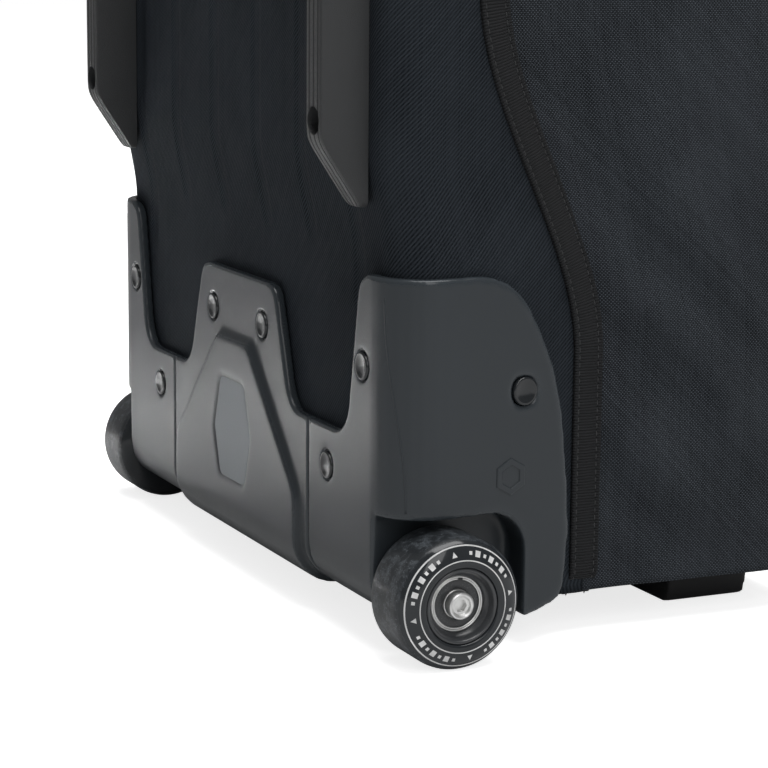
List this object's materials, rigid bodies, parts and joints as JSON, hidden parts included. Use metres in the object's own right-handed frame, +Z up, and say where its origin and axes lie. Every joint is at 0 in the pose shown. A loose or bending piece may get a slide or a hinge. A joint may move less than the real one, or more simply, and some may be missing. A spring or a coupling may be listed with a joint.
{
  "type": "wheeled snowboard bag",
  "caption": "Long padded wheeled snowboard bag with skid rails, a moulded kick plate with skate wheels, a zipped lid and webbing handles.",
  "frame": {"origin": "on the ground, at the middle of the bag's width and depth, with the bag standing on its wheeled end", "axes": "+Z up along the bag from its wheels to its top handle, +Y towards the back with the skid rails, +X across"},
  "size_m": [0.354, 0.2398, 1.7213],
  "materials": {
    "plate": "satin moulded plastic, charcoal",
    "rivet": "glossy dark grey",
    "rail": "sand-textured dark grey plastic",
    "screw": "black oxide",
    "urethane": "smoky glossy urethane",
    "wheel_core": "dark grey moulded core",
    "steel": "zinc plated steel",
    "tub_fabric": "fine blue-black twill over foam",
    "gusset_fabric": "coarse oxford weave, dark slate",
    "webbing": "black ribbed tape and webbing",
    "moulding": "black moulded plastic",
    "slider_metal": "black painted die-cast metal",
    "lining": "grey lining over foam"
  },
  "bodies": {
    "bag": {"kick_plate_centre": "plate", "wheel_housing_left": "plate", "wheel_housing_right": "plate", "rivet_tower_left": "rivet", "rivet_valley_left": "rivet", "rivet_tab_left": "rivet", "rivet_side_left": "rivet", "rivet_tower_right": "rivet", "rivet_valley_right": "rivet", "rivet_tab_right": "rivet", "rivet_side_right": "rivet", "skid_rail_left": "rail", "rail_screw_lower_left": "screw", "rail_screw_upper_left": "screw", "skid_rail_right": "rail", "rail_screw_lower_right": "screw", "rail_screw_upper_right": "screw", "axle_bolt_left": "steel", "axle_nut_left": "steel", "axle_bolt_right": "steel", "axle_nut_right": "steel", "back_tub": "tub_fabric", "gusset_left": "gusset_fabric", "gusset_right": "gusset_fabric", "binding_tape_left": "webbing", "binding_tape_right": "webbing", "bottom_end_panel": "gusset_fabric", "top_end_panel": "gusset_fabric", "foot_left": "moulding", "foot_right": "moulding", "back_liner": "lining", "main_zip_chain": "webbing", "tie_down_strap_lower": "webbing", "tie_down_clip_lower": "moulding", "tie_down_strap_upper": "webbing", "tie_down_clip_upper": "moulding"},
    "wheel_left": {"tyre_left": "urethane", "hub_left": "wheel_core", "bearing_outer_left": "steel", "bearing_inner_left": "steel", "spacer_left": "steel"},
    "wheel_right": {"tyre_right": "urethane", "hub_right": "wheel_core", "bearing_outer_right": "steel", "bearing_inner_right": "steel", "spacer_right": "steel"},
    "lid": {"lid": "gusset_fabric", "lid_pocket": "gusset_fabric"},
    "pocket_slider": {"pocket_slider": "moulding"},
    "side_slider": {"zip_slider_side": "slider_metal"},
    "side_pull": {"zip_pull_side": "moulding"},
    "top_slider": {"zip_slider_top": "slider_metal"},
    "top_pull": {"zip_pull_top": "moulding"},
    "top_handle": {"top_handle_webbing": "webbing", "top_handle_grip": "moulding"},
    "side_handle": {"side_handle_webbing": "webbing", "side_handle_grip": "moulding"},
    "tongue_lower": {"tie_down_tongue_lower": "moulding"},
    "tongue_upper": {"tie_down_tongue_upper": "moulding"}
  },
  "joints": [
    {"name": "wheel_spin_left", "type": "hinge", "parent": "bag", "child": "wheel_left", "pos_m": [-0.16075, 0.0767, 0.026], "axis": [1, 0, 0], "continuous": true},
    {"name": "wheel_spin_right", "type": "hinge", "parent": "bag", "child": "wheel_right", "pos_m": [0.16075, 0.0767, 0.026], "axis": [1, 0, 0], "continuous": true},
    {"name": "lid_swing", "type": "hinge", "parent": "bag", "child": "lid", "pos_m": [0.1478, -0.09705, 0.863], "axis": [0, 0, 1], "range_deg": [0, 165]},
    {"name": "pocket_slider_slide", "type": "slide", "parent": "lid", "child": "pocket_slider", "axis": [1, 0, 0], "range_m": [0, 0.118]},
    {"name": "side_slider_slide", "type": "slide", "parent": "bag", "child": "side_slider", "axis": [0, 0, -1], "range_m": [0, 1.63]},
    {"name": "side_pull_fold", "type": "hinge", "parent": "side_slider", "child": "side_pull", "pos_m": [-0.1541, -0.0952, 1.678], "axis": [0, 1, 0], "range_deg": [0, 170]},
    {"name": "top_slider_slide", "type": "slide", "parent": "bag", "child": "top_slider", "axis": [1, 0, 0], "range_m": [0, 0.2]},
    {"name": "top_pull_fold", "type": "hinge", "parent": "top_slider", "child": "top_pull", "pos_m": [-0.1175, -0.0952, 1.7146], "axis": [0, -1, 0], "range_deg": [0, 170]},
    {"name": "top_handle_fold", "type": "hinge", "parent": "bag", "child": "top_handle", "pos_m": [0, 0.0271, 1.7153], "axis": [1, 0, 0], "range_deg": [0, 110]},
    {"name": "side_handle_fold", "type": "hinge", "parent": "bag", "child": "side_handle", "pos_m": [-0.1548, -0.0129, 0.863], "axis": [0, 0, -1], "range_deg": [0, 110]},
    {"name": "tongue_lower_slide", "type": "slide", "parent": "bag", "child": "tongue_lower", "axis": [-1, 0, 0], "range_m": [0, 0.024]},
    {"name": "tongue_upper_slide", "type": "slide", "parent": "bag", "child": "tongue_upper", "axis": [-1, 0, 0], "range_m": [0, 0.024]}
  ]
}
